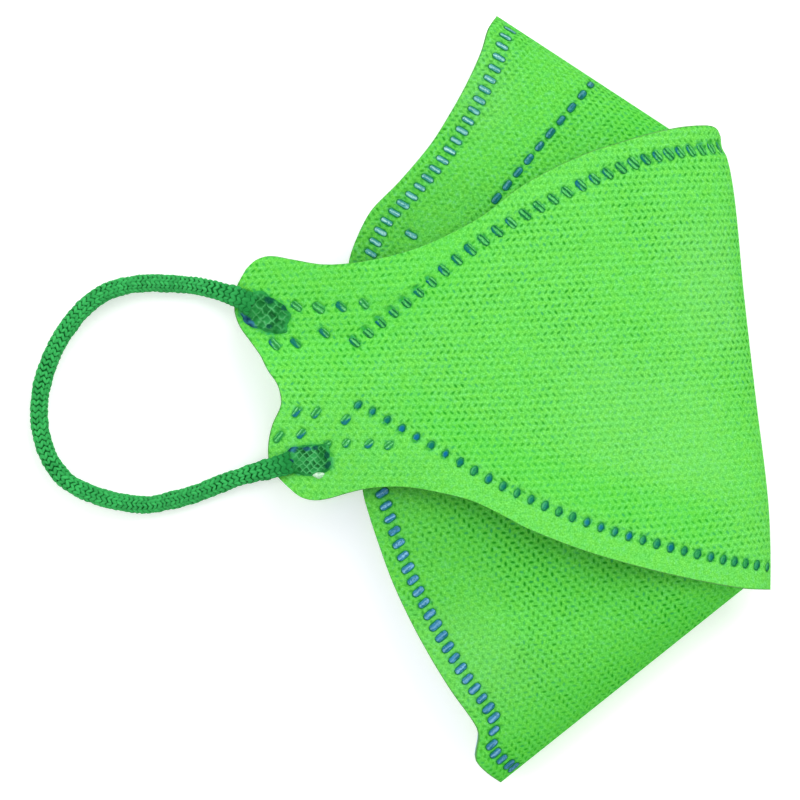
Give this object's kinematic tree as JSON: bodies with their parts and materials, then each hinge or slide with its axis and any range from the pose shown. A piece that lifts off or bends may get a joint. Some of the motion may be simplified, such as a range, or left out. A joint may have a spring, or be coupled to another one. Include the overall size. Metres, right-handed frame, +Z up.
{
  "type": "respirator mask",
  "caption": "Flat-fold respirator mask lying on its side: centre, nose and chin panels welded along curved seams, folded in half, with an elastic ear loop on each side.",
  "frame": {"origin": "on the surface the mask lies on, under the middle of its panels' outline; the ear loops reach past that outline", "axes": "+Z up from the surface, through the two layers of the folded mask; +Y towards the nose panel's tip, along the centre fold; +X from the ear loops towards the centre fold"},
  "size_m": [0.1413, 0.1463, 0.0241],
  "materials": {
    "outer_cloth": "bright green spunbond nonwoven with small pressed dots, over a blue filter layer that shows at the weld marks",
    "elastic": "dark green knitted tubular elastic, pressed to a waffle pattern where it is welded"
  },
  "bodies": {
    "root": {"centre_panel": "outer_cloth", "nose_panel": "outer_cloth", "chin_panel": "outer_cloth", "near_loop": "elastic", "near_weld_nose_end": "elastic", "near_weld_chin_end": "elastic", "far_loop": "elastic", "far_weld_nose_end": "elastic", "far_weld_chin_end": "elastic"}
  },
  "joints": []
}
